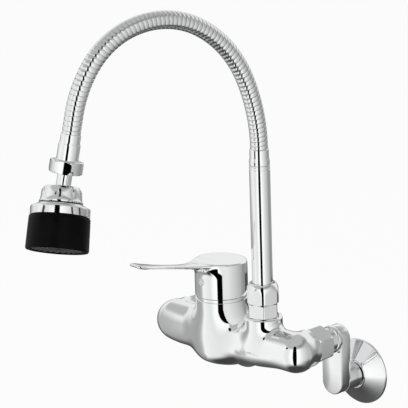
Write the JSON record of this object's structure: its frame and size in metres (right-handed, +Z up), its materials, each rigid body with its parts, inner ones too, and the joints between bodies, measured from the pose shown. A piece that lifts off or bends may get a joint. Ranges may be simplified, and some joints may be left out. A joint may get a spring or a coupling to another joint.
{
  "type": "pre rinse faucet",
  "caption": "Wall-mounted single-lever kitchen mixer with eccentric wall unions, a swivelling flexible gooseneck spout and a ball-jointed two-mode spray head in a rubber sleeve.",
  "frame": {"origin": "on the wall, midway between the two inlets at the height of the wall pipes", "axes": "+X to the right seen from the room, +Y into the wall, +Z up"},
  "size_m": [0.211, 0.3335, 0.3837],
  "materials": {
    "plated_brass": "mirror chrome plate on brass",
    "plated_steel": "mirror chrome plate on steel",
    "plated_zinc": "mirror chrome plate on a zinc casting",
    "plated_plastic": "mirror chrome plate on plastic",
    "hose_steel": "bright interlocked steel strip",
    "bare_brass": "machined brass",
    "bare_steel": "plain steel",
    "seal_rubber": "black sealing rubber",
    "liner_rubber": "smooth hose rubber",
    "black_rubber": "satin black moulded rubber",
    "cartridge_plastic": "moulded plastic",
    "slip_plastic": "low-friction plastic",
    "ceramic": "ground white ceramic",
    "plug_plastic": "glossy grey plug",
    "face_plastic": "dark grey moulded face"
  },
  "bodies": {
    "body": {"valve_body": "plated_brass", "trim_ring": "plated_brass", "outlet_adapter": "plated_brass", "spout_nut": "plated_brass", "gland_nut": "bare_brass", "wall_connector_left": "plated_brass", "wall_connector_right": "plated_brass", "union_nut_left": "plated_brass", "union_nut_right": "plated_brass", "wall_flange_left": "plated_steel", "wall_flange_right": "plated_steel", "union_washer_left": "seal_rubber", "union_washer_right": "seal_rubber", "cartridge_body": "cartridge_plastic", "cartridge_seals": "seal_rubber", "fixed_ceramic_disc": "ceramic", "spout_slip_ring": "slip_plastic"},
    "carrier": {"stem_carrier": "cartridge_plastic", "stem_pin": "bare_steel"},
    "lever": {"handle": "plated_zinc", "cartridge_stem": "bare_brass", "handle_set_screw": "bare_steel", "indicator_plug": "plug_plastic"},
    "moving_disc": {"moving_ceramic_disc": "ceramic"},
    "spout": {"riser_tube": "plated_steel", "spout_end_bush": "bare_brass", "spout_seal_rings": "seal_rubber", "riser_ferrule": "plated_brass", "hose_riser_side": "hose_steel", "hose_bend_span": "hose_steel", "hose_liner": "liner_rubber"},
    "hose_end": {"hose_head_side": "hose_steel", "end_ferrule": "plated_brass", "neck_nut": "plated_brass", "neck_washer": "seal_rubber", "ball_stem": "plated_brass"},
    "slip_ring": {"ball_slip_ring": "slip_plastic"},
    "seat": {"ball_seat": "slip_plastic"},
    "head": {"head_cap": "plated_plastic", "seat_retainer": "cartridge_plastic", "spray_shell": "plated_plastic", "spray_core": "cartridge_plastic", "aerator": "face_plastic"},
    "mode_sleeve": {"rubber_sleeve": "black_rubber", "spray_face": "face_plastic"}
  },
  "joints": [
    {"name": "handle_turn", "type": "hinge", "parent": "body", "child": "carrier", "pos_m": [-0.0145, -0.0885, 0.077], "axis": [0, 0, 1], "range_deg": [-41, 49]},
    {"name": "handle_lift", "type": "hinge", "parent": "carrier", "child": "lever", "pos_m": [-0.0145, -0.0885, 0.077], "axis": [-0.9976, 0.0698, 0], "range_deg": [0, 20]},
    {"name": "disc_slide", "type": "slide", "parent": "carrier", "child": "moving_disc", "axis": [-0.0698, -0.9976, 0], "range_m": [0, 0.0045]},
    {"name": "spout_swivel", "type": "hinge", "parent": "body", "child": "spout", "pos_m": [0.037, -0.0885, 0.103], "axis": [0, 0, 1], "range_deg": [-88, 112]},
    {"name": "hose_bend", "type": "hinge", "parent": "spout", "child": "hose_end", "pos_m": [0.01808, -0.17752, 0.34488], "axis": [0.9781, -0.2079, 0], "range_deg": [-20, 12], "deforming": ["hose_bend_span", "hose_liner"]},
    {"name": "head_swing", "type": "hinge", "parent": "hose_end", "child": "slip_ring", "pos_m": [-0.00401, -0.28143, 0.20894], "axis": [0.9781, -0.2079, 0], "range_deg": [-12.1, 21.9]},
    {"name": "head_tilt", "type": "hinge", "parent": "slip_ring", "child": "seat", "pos_m": [-0.00401, -0.28143, 0.20894], "axis": [-0.1978, -0.9308, 0.3074], "range_deg": [-32.5, 1.5]},
    {"name": "head_spin", "type": "hinge", "parent": "seat", "child": "head", "pos_m": [-0.00401, -0.28143, 0.20894], "axis": [0.1998, -0.3453, -0.917], "continuous": true},
    {"name": "mode_turn", "type": "hinge", "parent": "head", "child": "mode_sleeve", "pos_m": [-0.00105, -0.28654, 0.19537], "axis": [0.1998, -0.3453, -0.917], "range_deg": [0, 75]}
  ],
  "couplings": [
    {"joint": "disc_slide", "follows": "handle_lift", "m_per_rad": 0.01264}
  ]
}
